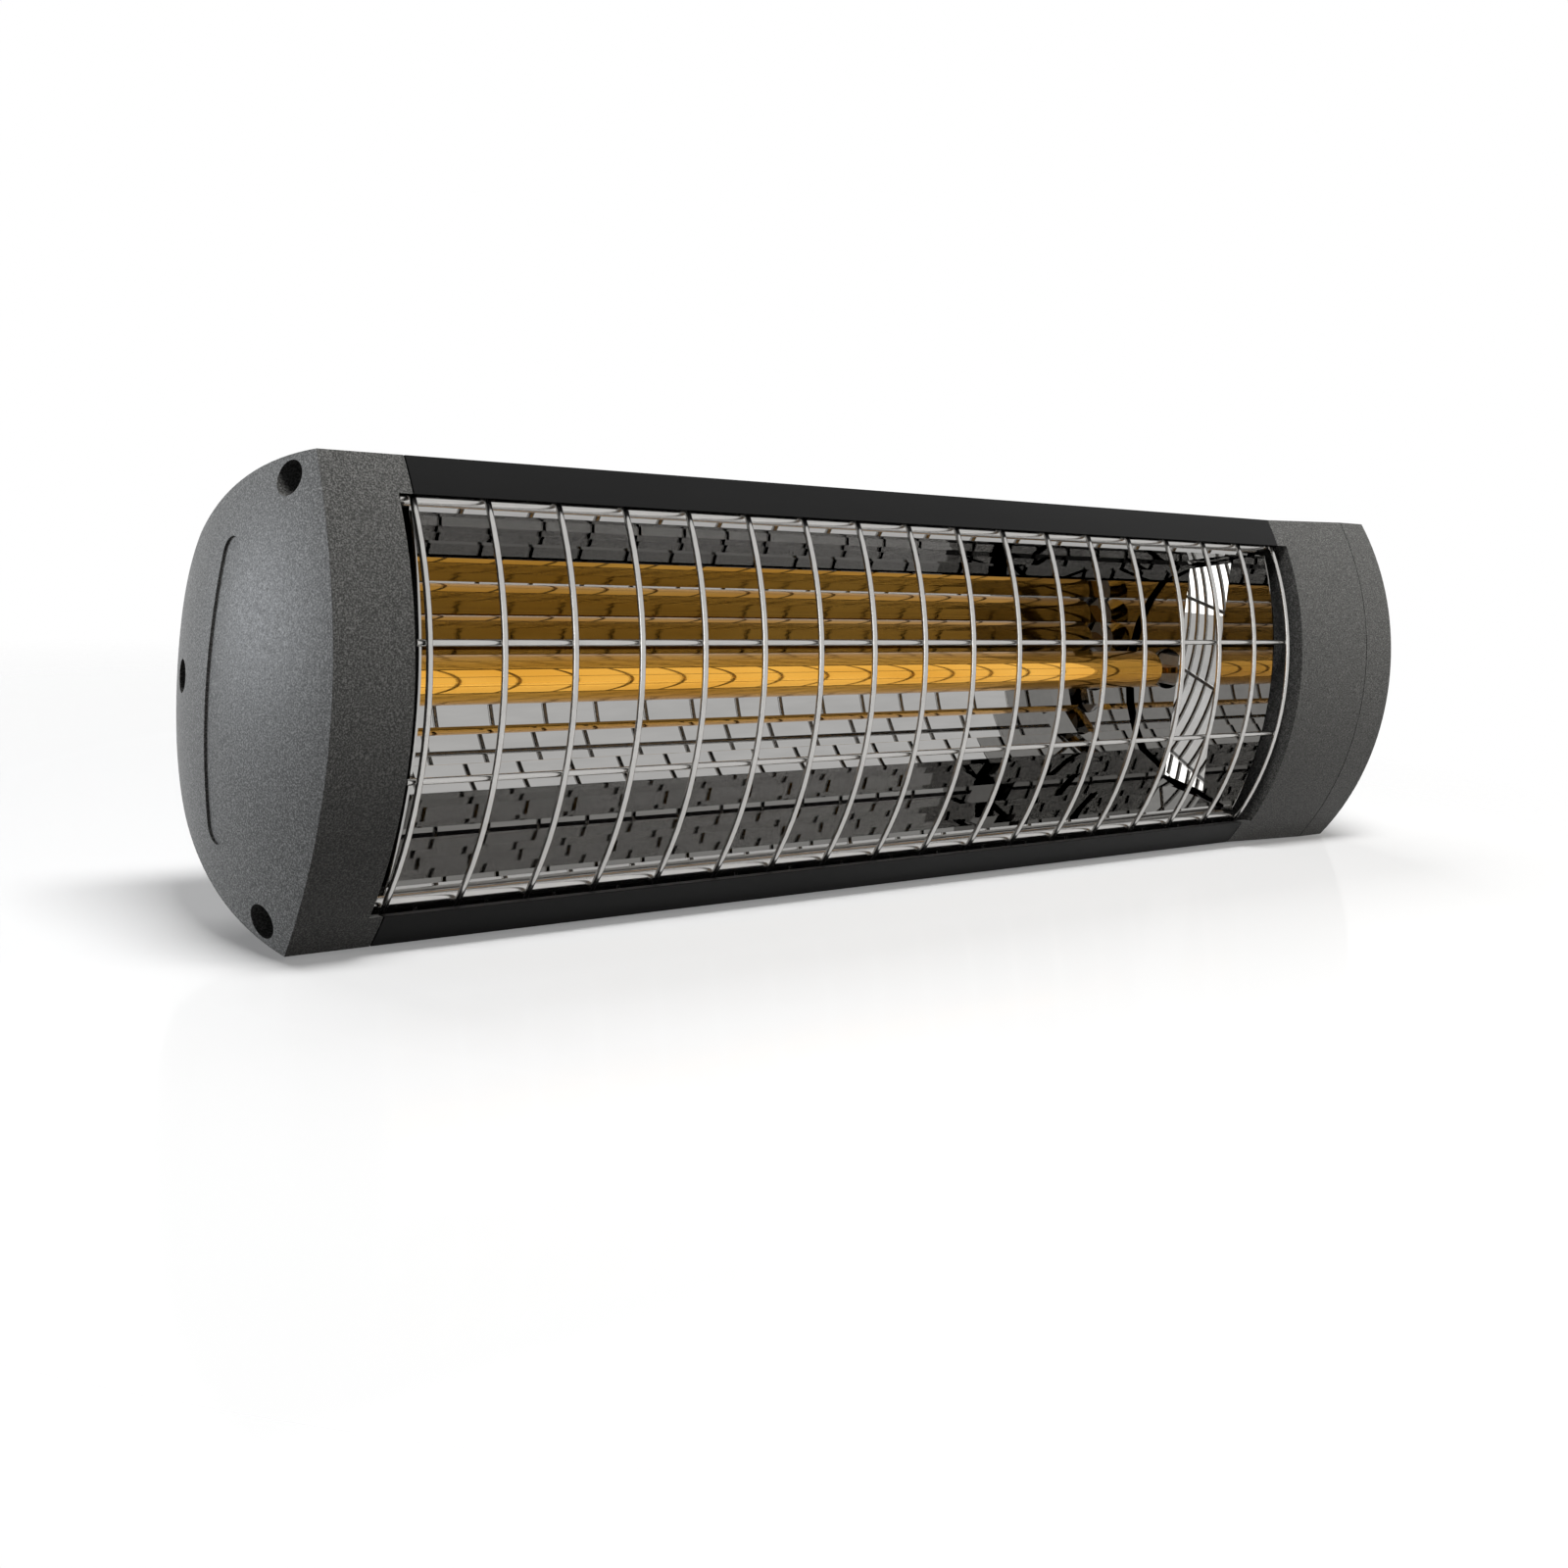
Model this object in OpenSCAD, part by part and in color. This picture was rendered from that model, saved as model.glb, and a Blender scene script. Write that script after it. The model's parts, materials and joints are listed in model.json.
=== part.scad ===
// Wall-mounted infrared heater, assembled from its separate pieces.
// X runs along the heater, Y runs to the rear and Z is up.
// The origin is the middle of the flat mounting face at the back.

/* [Housing profile] */
// Length of the extruded profile
profile_l = 424.6; // [360:0.1:700]
// Height of the profile between its two front ridges
profile_h = 141.4; // [130:0.1:165]
// Depth from the front ridges back to the mounting face
profile_d = 74; // [68:0.1:90]
// Rise of the rounded front in front of the ridges
front_rise = 22.15; // [19:0.05:26]
// Rise of the rounded upper and lower sides over a straight line
side_rise = 4.1; // [2:0.1:8]
// Distance of the rear shoulders in front of the mounting face
shoulder_back = 17; // [15:0.5:20]
// Height between the rear shoulders as a share of the profile's height
shoulder_share = 0.594; // [0.57:0.002:0.63]
// Rise of the rounded rear flanks over a straight line
flank_rise = 1.6; // [0.8:0.1:3]
// Height of the flat mounting face
land_h = 26; // [22:0.5:34]
// Wall thickness of the profile
wall = 2.4; // [1.8:0.1:3]
// Height of the plain strips above and below the front window
strip_h = 10.4; // [8.8:0.1:14]
// Thickness of the ledge that carries the trough
ledge_t = 2; // [1.2:0.1:3]

/* [Rear mounting channel] */
// Width of the channel's mouth
mouth_w = 8.4; // [6:0.1:10]
// Width inside the channel
channel_w = 13.6; // [12:0.1:20]
// Clear depth inside the channel
channel_d = 5.2; // [4.6:0.1:6]
// Thickness of the lips beside the mouth
lip_t = 3; // [2:0.1:4]
// Thickness of the channel's floor
floor_t = 1.6; // [1.2:0.1:2.4]
// Thickness of the channel's side walls
cheek_t = 2.2; // [1.5:0.1:4]
// Width across the flats of the square slide nuts
nut_w = 13; // [10:0.1:13.4]
// Thickness of the slide nuts
nut_t = 4; // [3:0.1:5]
// Radius of the slide nuts' threaded hole
nut_bore_r = 3.32; // [2:0.01:4]
// Distance of each slide nut from the middle of the channel
nut_x = 120; // [60:1:160]

/* [End caps] */
// Length of the left cap from the joint to its crown
left_cap_l = 39.9; // [36:0.1:60]
// Length of the terminal housing
terminal_l = 56.3; // [48:0.1:90]
// Length of the right cap from its joint to its crown
right_cap_l = 31.5; // [26:0.1:50]
// Radius of the crowned ends seen from above
dome_plan_r = 114.9; // [100:0.1:130]
// Radius of the crowned ends seen from the front
dome_front_r = 256.6; // [240:0.1:400]
// Depth of the crown's highest line behind the front ridges
dome_d = 24.3; // [15:0.1:35]
// Outward flare of the terminal housing over its length
flare = 1.2; // [0.2:0.1:2]
// Wall thickness of the caps
cap_wall = 2.8; // [2:0.1:3.5]
// Thickness of the gaskets at the joints
gasket_t = 0.5; // [0.3:0.1:1.5]
// Step of the gaskets behind the outer skin
gasket_step = 0.5; // [0.2:0.1:1]
// Reach of the gaskets inside the outline
gasket_w = 4.2; // [3.6:0.1:5]
// Depth of the window's notch in the left cap
left_notch = 5.05; // [4:0.05:8]
// Depth of the window's notch in the terminal housing
right_notch = 6.9; // [5:0.05:9]
// Reach of the wall behind the left cap's notch, behind the ridges
notch_wall_d = 6; // [5:0.5:8]
// Thickness of the walls across the caps
web_t = 2.5; // [1.5:0.1:4]
// Length of the bare recess in the left cap
recess_l = 88; // [60:1:100]
// Width of the bare recess
recess_w = 10; // [6:0.5:14]
// Depth of the bare recess
recess_t = 0.8; // [0.3:0.1:1.2]
// Depth of the recess's middle line behind the front ridges
recess_d = 27; // [20:0.5:32]

/* [Cap screws] */
// Radius of the screws
screw_r = 2.1; // [1.6:0.05:2.4]
// Radius of the screw heads
head_r = 4.25; // [3.5:0.05:4.6]
// Height of the screw heads
head_h = 5; // [3:0.1:6]
// Radius of the deep counterbores
counterbore_r = 5; // [4.7:0.05:5.2]
// Thickness of the seat under each screw head
seat_t = 5; // [3:0.1:8]
// Depth of the front screws behind the trough's flanges
port_back = 3; // [2.8:0.1:3.8]
// Distance of the front screws inside the ridges, up and down
port_in = 8.7; // [8.2:0.1:9.2]
// Outer radius of the screw ports in the profile
port_r = 3.6; // [3.2:0.05:3.8]
// Length of thread in each screw port
thread_l = 10; // [6:0.5:16]
// Distance of the rear screw in front of the channel's floor
rear_screw_in = 8.2; // [7.2:0.1:9.2]
// Width across the flats of the screws' hexagon sockets
socket_w = 4; // [3:0.1:5]

/* [Guard] */
// Diameter of the guard's wires
wire_d = 2; // [1.5:0.1:2.4]
// Spacing of the arched wires, before the last one is fitted to the length
guard_spacing = 25; // [20:0.5:40]
// Difference of the arched wires' radius from that of the rounded front
guard_in = 5.9; // [4:0.1:8]
// Distance of the arched wires' crest behind that of the rounded front
guard_back = 4.65; // [4:0.05:6]
// Reach of the arched wires behind the window's edges
guard_hook = 3.4; // [1:0.1:4]
// Shift of the guard towards the right
guard_shift = 2.6; // [0:0.1:3]
// Overrun of the rails and long wires past the last arches
guard_tail = 3.1; // [2:0.1:4]
// Distance between the two long wires
long_wire_gap = 39.4; // [20:0.1:80]
// Diameter of the two rails
rail_d = 4.5; // [3:0.1:5]
// Height of the rails' middle below the window's edge
rail_drop = 1.6; // [1:0.1:4]
// Diameter of the studs on the rails
stud_d = 1.6; // [1:0.1:2]
// Height of the studs over the rails
stud_h = 1.6; // [0.8:0.1:2.4]

/* [Reflector] */
// Thickness of the trough's sheet
sheet_t = 0.6; // [0.4:0.05:1]
// Distance of the trough's mouth inside the window's edges
trough_in = 5.4; // [5.1:0.1:10]
// Distance of the trough's bottom in front of the channel's floor
trough_back = 2.7; // [1.2:0.1:6]
// Width of the trough's two flanges
flange_w = 3.6; // [2:0.1:4]
// Gap between the trough's ends and the mirror plates
trough_gap = 3; // [1:0.1:6]
// Thickness of the mirror plates
mirror_t = 0.8; // [0.5:0.05:1.2]
// Distance of the mirror plates inside the profile's ends
mirror_inset = 2.2; // [2.1:0.1:4]
// Distance of the mirror plates' front edge behind the arched wires
mirror_in = 4.1; // [3.7:0.1:8]
// Difference of the mirror plates' front radius from that of the arched wires
mirror_flat = 20; // [5:1:26]
// Diameter of the hole round the lamp
lamp_hole_d = 18; // [17:0.1:19]

/* [Lamp] */
// Diameter of the lamp's tube
lamp_d = 16; // [12:0.1:16.4]
// Wall thickness of the lamp's tube
lamp_wall = 1.2; // [0.8:0.1:2]
// Distance of the lamp's axis in front of the rear screw
lamp_in = 15; // [14.9:0.1:17]
// Distance of the tube's ends inside the mirror plates
lamp_inset = 14; // [8:0.5:30]
// Length of the tapered shoulders at the tube's ends
shoulder_l = 7; // [4:0.5:12]
// Thickness of the flat seals
seal_t = 2.6; // [2:0.1:4]
// Width of the flat seals
seal_w = 10; // [8:0.1:12]
// Diameter of the spiral filament
coil_d = 8; // [5:0.1:9]
// Diameter of the filament's wire
filament_d = 0.9; // [0.6:0.05:1.2]
// Number of curls in the filament
curl_count = 46; // [20:1:60]
// Length of the ceramic bases
base_l = 22; // [18:0.5:26]
// Depth of the ceramic bases from front to back
base_d = 15; // [13:0.5:18]
// Height of the ceramic bases
base_h = 12; // [9:0.5:14]

/* [Lamp frames] */
// Thickness of the frames' sheet
frame_t = 1.2; // [0.8:0.1:1.6]
// Height of the frames' middle plate
frame_h = 60; // [56:0.5:64]
// Depth of the frames' front edge behind the front ridges
frame_d = 14; // [8:0.5:20]
// Offset of the frames' feet behind their middle plate
foot_offset = 5.2; // [4.6:0.1:6]
// Height of the frames' feet
foot_h = 13.5; // [11:0.5:15]
// Width of the frames' feet and legs
foot_w = 12; // [9:0.5:16]
// Distance of the feet's middle in front of the lamp's axis
foot_in = 7.8; // [7:0.1:12]
// Radius of the small screws
small_r = 1.65; // [1.2:0.05:2]
// Radius of the small screws' heads
small_head_r = 3.5; // [3:0.05:4]
// Height of the small screws' heads
small_head_h = 2.4; // [1.5:0.1:3]
// Thickness of the spring straps
strap_t = 0.8; // [0.5:0.05:1.2]
// Width of the spring straps
strap_w = 8; // [5:0.5:12]
// Reach of the spring straps' feet
strap_foot = 8; // [8:0.5:10]
// Depth of the shelves' edge behind the lamp's bases
shelf_lip = 2.2; // [1.8:0.1:2.4]

/* [Terminals and cable entry] */
// Length of the terminal block
block_l = 14; // [10:0.5:20]
// Depth of the terminal block from front to back
block_d = 27; // [26:0.5:28]
// Height of the terminal block
block_h = 18; // [14:0.5:20]
// Height of the terminal block's middle over the lower ridge
block_up = 39.7; // [39.3:0.1:40.7]
// Distance between the three terminals
terminal_step = 9.3; // [9:0.1:10]
// Distance of the earth screw in front of the lamp's axis
earth_in = 12.8; // [9:0.1:18]
// Distance of the earth screw below the upper ridge
earth_drop = 23.7; // [22.7:0.1:26]
// Radius of the cable entry's thread
gland_r = 10; // [8:0.1:11]
// Width across the flats of the cable entry's hexagons
gland_hex_w = 24; // [22:0.5:26]
// Radius of the cable entry's bore
gland_bore_r = 5; // [3:0.1:6.5]
// Distance of the cable entry's axis in front of the mounting face
gland_back = 35; // [34:0.5:38]
// Height of the cable entry's axis below the middle
gland_drop = 30; // [26:0.5:32]
// Diameter of the lamp's leads
lead_d = 3; // [2:0.1:3.4]

/* [Hidden] */

// Overrun of every cut
cut = 1;
// Clearance between pieces that rest on each other
fit = 0.05;
// Clearance round pieces that pass through or stand beside others
room = 0.4;
// Share of the trough's depth and of its half width at each bend
trough_depth_shares = [0, 0.338, 0.567, 0.773, 0.863, 0.948, 1];
trough_width_shares = [1, 0.906, 0.806, 0.692, 0.546, 0.337, 0.042];

// Radius of an arc from its chord and its rise
function arc_radius(chord, rise) = (chord * chord / 4 + rise * rise) / (2 * rise);
// Middle of the circle that bulges by rise to the left of the line from a to b
function arc_middle(a, b, rise) = let(d = b - a, l = norm(d))
  (a + b) / 2 + [-d[1], d[0]] / l * (rise - arc_radius(l, rise));
// Open line moved to its left by t, with mitred corners
function left_of(a, b) = let(d = b - a) [-d[1], d[0]] / norm(d);
function moved(p, t) = [for (i = [0:len(p) - 1])
  let(n1 = i > 0 ? left_of(p[i - 1], p[i]) : left_of(p[0], p[1]),
    n2 = i < len(p) - 1 ? left_of(p[i], p[i + 1]) : n1)
  p[i] + (n1 + n2) * t / (1 + n1 * n2)];
function reversed(p) = [for (i = [len(p) - 1:-1:0]) p[i]];
function flipped(p) = [for (q = reversed(p)) [q[0], -q[1]]];

// Outline of the housing
window_h = profile_h - 2 * strip_h;
shoulder_d = profile_d - shoulder_back;
shoulder_h = profile_h * shoulder_share;
ridge = [0, profile_h / 2];
shoulder = [shoulder_d, shoulder_h / 2];
land = [profile_d, land_h / 2];
front_r = arc_radius(profile_h, front_rise);
side_r = arc_radius(norm(shoulder - ridge), side_rise);
side_mid = arc_middle(ridge, shoulder, side_rise);
flank_r = arc_radius(norm(land - shoulder), flank_rise);
flank_mid = arc_middle(shoulder, land, flank_rise);
// Places along the heater
joint_x = profile_l / 2;
cap_x = joint_x + gasket_t;
left_end = joint_x + left_cap_l;
end_joint_x = joint_x + terminal_l;
end_cap_x = end_joint_x + gasket_t;
right_end = end_joint_x + right_cap_l;
// Places across the heater
big = 2 * (profile_h + profile_d);
channel_back = profile_d - lip_t;
channel_front = channel_back - channel_d;
floor_front = channel_front - floor_t;
rear_screw_d = floor_front - rear_screw_in;
guard_r = front_r - guard_in;
guard_front = front_rise - guard_back;
guard_mid = guard_r - guard_front;
wire_r = wire_d / 2;
rail_r = rail_d / 2;
rail_z = window_h / 2 - rail_drop;
rail_y = guard_mid - sqrt(pow(guard_r - wire_r - rail_r - fit, 2) - rail_z * rail_z);
long_wire_z = long_wire_gap / 2;
long_wire_y = guard_mid - sqrt(pow(guard_r - wire_d - fit, 2) - long_wire_z * long_wire_z);
guard_span = profile_l + room;
guard_count = round(guard_span / guard_spacing) + 1;
guard_pitch = guard_span / (guard_count - 1);
guard_half = asin((window_h / 2 + guard_hook) / guard_r);
guard_l = (guard_count - 1) * guard_pitch + 2 * guard_tail;
flange_front = rail_y + rail_r + fit;
trough_w = window_h - 2 * trough_in;
trough_depth = floor_front - trough_back - flange_front;
lamp_depth = rear_screw_d - lamp_in;
ledge_front = flange_front + sheet_t + fit;
ledge_z = trough_w / 2 + sheet_t + room;
mirror_z = ledge_z - room;
mirror_x = joint_x - mirror_inset;
mirror_back = mirror_x + mirror_t;
mirror_front = guard_front - mirror_in;
mirror_front_r = guard_r + mirror_flat;
trough_l = 2 * (mirror_x - trough_gap);
frame_back = mirror_back + frame_t;
foot_x = mirror_back + foot_offset;
foot_back = foot_x + frame_t;
foot_d = lamp_depth - foot_in;
foot_z = frame_h / 2 - frame_t + foot_h / 2;
bush_l = 4;
bush_r = 4.5;
bush_x = frame_back + bush_l;
port_d = flange_front + port_back;
port_z = profile_h / 2 - port_in;
boss_r = screw_r + cap_wall;
screw_room = screw_r + room;
web_x = joint_x + right_notch;
web_back = web_x + web_t;
// Lamp
lamp_r = lamp_d / 2;
tube_end = mirror_x - lamp_inset;
base_x = frame_back + room * 4;
base_end = base_x + base_l;
seal_end = base_x + base_l / 2;
shelf_z = -base_h / 2 - fit;
shelf_y = lamp_depth - base_d / 2 - strap_t - strap_foot - fit;
shelf_w = base_d + strap_t + strap_foot + shelf_lip + fit;
strap_x = base_x + base_l / 2;
strap_y = lamp_depth - base_d / 2 - strap_t - strap_foot / 2 - fit;
// Terminals and cable entry
block_z = block_up - profile_h / 2;
block_hole_z = block_z + block_h * 0.3;
earth_depth = lamp_depth - earth_in;
earth_z = profile_h / 2 - earth_drop;
clamp_r = lead_d / 2 + frame_t;
gland_depth = profile_d - gland_back;
gland_z = -gland_drop;
pad_r = gland_hex_w * 0.65;
pad_x = right_end + room * 2;
pad_step = cap_wall + room * 2;

// Solid with the housing's outline, moved in by a at x0 and by b at x1
module body(x0, x1, a, b) {
  l = x1 - x0;
  intersection() {
    translate([x0, front_r - front_rise, 0]) rotate([0, 90, 0])
      cylinder(h = l, r1 = front_r - a, r2 = front_r - b, $fn = 180);
    intersection_for(s = [1, -1])
      translate([x0, side_mid[0], s * side_mid[1]]) rotate([0, 90, 0])
        cylinder(h = l, r1 = side_r - a, r2 = side_r - b, $fn = 180);
    intersection_for(s = [1, -1])
      union() {
        translate([x0, flank_mid[0], s * flank_mid[1]]) rotate([0, 90, 0])
          cylinder(h = l, r1 = flank_r - a, r2 = flank_r - b, $fn = 180);
        translate([x0, shoulder_d - 3 * wall - big, -big]) cube([l, big, 2 * big]);
      }
    translate([x0, -big, -big]) cube([l, big + profile_d - max(a, 0), 2 * big]);
  }
}

// Flat outline of the housing, moved in by a
module outline(a) {
  intersection() {
    translate([front_r - front_rise, 0]) circle(r = front_r - a, $fn = 180);
    intersection_for(s = [1, -1]) translate([side_mid[0], s * side_mid[1]]) circle(r = side_r - a,
      $fn = 180);
    intersection_for(s = [1, -1])
      union() {
        translate([flank_mid[0], s * flank_mid[1]]) circle(r = flank_r - a, $fn = 180);
        translate([shoulder_d - 3 * wall - big, -big]) square([big, 2 * big]);
      }
    translate([-big, -big]) square([big + profile_d - a, 2 * big]);
  }
}

// Moves a flat outline to x and gives it a length
module along(x, l) translate([x, 0, 0]) rotate([90, 0, 90]) linear_extrude(l) children();
// Round bar along the heater
module bar(x, l, y, z, r, n = 48) translate([x, y, z]) rotate([0, 90, 0]) cylinder(h = l, r = r, $fn = n);
// Puts a piece that was drawn from the front ridges into the heater's frame
module placed() translate([0, -profile_d, 0]) children();
// Puts a piece that was drawn for the right end at either end
module at_end(side) mirror([side < 0 ? 1 : 0, 0, 0]) children();

// Round solid that crowns an end whose highest point lies at x
module dome(x, a) {
  translate([x - dome_front_r, dome_d, 0]) rotate([90, 0, 0])
    rotate_extrude($fn = 180) translate([dome_front_r - dome_plan_r, 0]) circle(r = dome_plan_r - a,
      $fn = 180);
}

// Hexagon prism along the heater
module hexagon(x, l, y, z, w) translate([x, y, z]) rotate([0, 90, 0]) cylinder(h = l, r = w / sqrt(3),
  $fn = 6);

// Screw whose head rests at x and whose tip points to the middle of the heater
module cap_screw(x, tip, y, z) {
  difference() {
    union() {
      bar(x, head_h, y, z, head_r);
      bar(tip, x - tip, y, z, screw_r, 32);
    }
    hexagon(x + head_h / 2, head_h, y, z, socket_w);
  }
}

module small_screw(l) {
  difference() {
    union() {
      cylinder(h = small_head_h, r = small_head_r, $fn = 32);
      translate([0, 0, -l]) cylinder(h = l, r = small_r, $fn = 24);
    }
    for (a = [0, 90]) rotate([0, 0, a])
      translate([-small_head_r * 0.55, -small_r * 0.25, small_head_h / 2])
        cube([small_head_r * 1.1, small_r * 0.5, small_head_h]);
  }
}

module ledges() {
  for (s = [1, -1])
    translate([ledge_front, s > 0 ? ledge_z : -profile_h / 2]) square([ledge_t, profile_h / 2 - ledge_z]);
}

module ports(r) for (s = [1, -1]) translate([port_d, s * port_z]) circle(r = r, $fn = 48);

module housing_profile() color([0.17, 0.17, 0.17]) placed()
  along(-joint_x, profile_l) difference() {
    union() {
      difference() {
        outline(0);
        outline(wall);
      }
      intersection() {
        outline(wall / 2);
        union() {
          ledges();
          ports(port_r);
          translate([floor_front, -channel_w / 2 - cheek_t])
            square([profile_d - floor_front, channel_w + 2 * cheek_t]);
        }
      }
    }
    translate([-front_rise - cut, -window_h / 2]) square([front_rise + cut, window_h]);
    translate([channel_front, -channel_w / 2]) square([channel_d, channel_w]);
    translate([channel_back - cut, -mouth_w / 2]) square([lip_t + 2 * cut, mouth_w]);
    ports(screw_r + fit / 2);
  }

// Window's notch in a cap, and the room that the ends of the guard need behind its skin
module notch(x) {
  translate([cap_x - cut, -front_rise - cut, -window_h / 2])
    cube([x - cap_x + cut, front_rise + cut + flange_front + room / 2, window_h]);
  intersection() {
    body(cap_x - cut, x, cap_wall, cap_wall);
    translate([cap_x - cut, -front_rise, -profile_h / 2])
      cube([x - cap_x + cut, front_rise + flange_front + room / 2, profile_h]);
  }
}

module end_cap_left() color([0.33, 0.34, 0.35]) placed() at_end(-1) {
  seats = [[port_d, port_z, cap_x], [port_d, -port_z, cap_x], [rear_screw_d, 0, bush_x + room / 2]];
  difference() {
    intersection() {
      body(cap_x, left_end, 0, 0);
      dome(left_end, 0);
    }
    difference() {
      intersection() {
        body(cap_x - cut, left_end, cap_wall, cap_wall);
        dome(left_end, cap_wall);
      }
      for (s = seats) bar(s[2], left_cap_l, s[0], s[1], counterbore_r + cap_wall / 2);
      for (s = [1, -1]) bar(foot_back + fit, left_cap_l, foot_d, s * foot_z, boss_r);
      translate([joint_x + left_notch, -front_rise, -window_h / 2 - cap_wall])
        cube([web_t, front_rise + notch_wall_d, window_h + 2 * cap_wall]);
    }
    notch(joint_x + left_notch);
    for (s = seats) {
      bar(s[2] - cut, left_cap_l, s[0], s[1], screw_room);
      bar(s[2] + seat_t, left_cap_l, s[0], s[1], counterbore_r);
    }
    for (s = [1, -1]) bar(foot_back - cut, thread_l + cut, foot_d, s * foot_z, small_r + fit / 2);
    intersection() {
      difference() {
        translate([joint_x, 0, -profile_h / 2]) cube([left_cap_l + cut, profile_d, profile_h]);
        dome(left_end, recess_t);
      }
      recess_shape();
    }
  }
}

// Straight slot with round ends, along the heater
module recess_shape() {
  e = recess_l / 2 - recess_w / 2;
  translate([joint_x, recess_d - recess_w / 2, -e]) cube([left_cap_l + cut, recess_w, 2 * e]);
  for (s = [1, -1]) bar(joint_x, left_cap_l + cut, recess_d, s * e, recess_w / 2);
}

module terminal_housing() color([0.33, 0.34, 0.35]) placed() {
  l = end_joint_x - cap_x;
  difference() {
    body(cap_x, end_joint_x, 0, -flare);
    difference() {
      body(cap_x - cut, end_joint_x + cut, cap_wall, cap_wall - flare);
      difference() {
        translate([web_x, -big, -big]) cube([web_t, 2 * big, 2 * big]);
        translate([web_x - cut, shelf_y - room * 2, shelf_z - frame_t * 3])
          cube([web_t + 2 * cut, shelf_w + room * 4, base_h + frame_t * 3 + strap_t + room * 4]);
      }
      for (s = [1, -1]) bar(cap_x, l, port_d, s * port_z, boss_r);
      bar(bush_x + room / 2, end_joint_x - bush_x - room / 2, rear_screw_d, 0, bush_r);
      for (s = [1, -1]) bar(foot_back + fit, web_back - foot_back - fit, foot_d, s * foot_z, boss_r);
    }
    notch(web_x);
    for (s = [1, -1]) bar(cap_x - cut, l + 2 * cut, port_d, s * port_z, screw_room);
    bar(bush_x - cut, l, rear_screw_d, 0, screw_room);
    for (s = [1, -1]) bar(foot_back - cut, web_back, foot_d, s * foot_z, small_r + fit / 2);
    bar(web_x - cut, web_t + 2 * cut, lead_run_d, lead_run_z, lead_d / 2 + room);
    for (s = [1, -1])
      bar(web_x - cut, web_t + 2 * cut, lamp_depth + s * terminal_step / 2, block_hole_z,
        small_r + fit / 2, 32);
    bar(web_x - cut, web_t + 2 * cut, earth_depth, earth_z, small_r + fit / 2, 32);
  }
}

module end_cap_right() color([0.33, 0.34, 0.35]) placed() {
  seats = [[port_d, port_z], [port_d, -port_z], [rear_screw_d, 0]];
  difference() {
    union() {
      intersection() {
        body(end_cap_x, right_end, -flare, -flare);
        dome(right_end, 0);
      }
      bar(end_cap_x, pad_x - end_cap_x, gland_depth, gland_z, pad_r);
    }
    difference() {
      intersection() {
        body(end_cap_x - cut, right_end, cap_wall - flare, cap_wall - flare);
        dome(right_end, cap_wall);
      }
      for (s = seats) bar(end_cap_x, right_cap_l, s[0], s[1], counterbore_r + cap_wall / 2);
    }
    bar(end_cap_x - cut, pad_x - pad_step - end_cap_x + cut, gland_depth, gland_z, pad_r - cap_wall / 2);
    bar(end_cap_x - cut, pad_x, gland_depth, gland_z, gland_r + room / 2);
    for (s = seats) {
      bar(end_cap_x - cut, right_cap_l, s[0], s[1], screw_room);
      bar(end_cap_x + seat_t, right_cap_l, s[0], s[1], counterbore_r);
    }
  }
}

module joint_gasket() color([0.06, 0.06, 0.06]) difference() {
  union() {
    difference() {
      outline(gasket_step);
      outline(gasket_w);
    }
    ports(port_r - fit);
  }
  translate([-front_rise - cut, -rail_z - rail_r - room])
    square([front_rise + cut + flange_front + room / 2, 2 * (rail_z + rail_r + room)]);
  ports(screw_room);
}

module gasket_left() placed() along(-cap_x, gasket_t) joint_gasket();
module gasket_right() placed() along(joint_x, gasket_t) joint_gasket();
module gasket_end() placed() color([0.06, 0.06, 0.06]) difference() {
  body(end_joint_x, end_cap_x, gasket_step - flare, gasket_step - flare);
  body(end_joint_x - cut, end_cap_x + cut, cap_wall - flare, cap_wall - flare);
}

module cap_screws_left() color([0.55, 0.55, 0.56]) placed() at_end(-1) {
  for (s = [1, -1]) cap_screw(cap_x + seat_t, joint_x - thread_l, port_d, s * port_z);
  cap_screw(bush_x + room / 2 + seat_t, frame_back + fit, rear_screw_d, 0);
}

module cap_screws_right() color([0.55, 0.55, 0.56]) placed() {
  for (s = [1, -1]) cap_screw(end_cap_x + seat_t, joint_x - thread_l, port_d, s * port_z);
  cap_screw(end_cap_x + seat_t, frame_back + fit, rear_screw_d, 0);
}

module guard_arches() color([0.8, 0.8, 0.8]) placed()
  for (i = [0:guard_count - 1])
    translate([guard_shift + (i - (guard_count - 1) / 2) * guard_pitch, guard_mid, 0]) rotate([90, 0, 90])
      rotate([0, 0, 180 - guard_half]) rotate_extrude(angle = 2 * guard_half, $fn = 180)
        translate([guard_r, 0]) circle(r = wire_r, $fn = 24);

module guard_long_wires() color([0.8, 0.8, 0.8]) placed()
  for (s = [1, -1]) bar(guard_shift - guard_l / 2, guard_l, long_wire_y, s * long_wire_z, wire_r, 24);

module guard_rails() color([0.75, 0.75, 0.75]) placed()
  for (s = [1, -1]) {
    bar(guard_shift - guard_l / 2, guard_l, rail_y, s * rail_z, rail_r, 32);
    for (i = [0.5:1:guard_count - 1])
      translate([guard_shift + (i - (guard_count - 1) / 2) * guard_pitch, rail_y, s * rail_z])
        rotate([s > 0 ? 0 : 180, 0, 0]) cylinder(h = rail_r + stud_h, r = stud_d / 2, $fn = 16);
  }

half_bends = [for (i = [0:len(trough_depth_shares) - 1])
  [flange_front + trough_depth * trough_depth_shares[i], trough_w / 2 * trough_width_shares[i]]];
half_trough = concat([[flange_front, trough_w / 2 + flange_w]], half_bends);
trough_line = concat(half_trough, flipped(half_trough));

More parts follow.
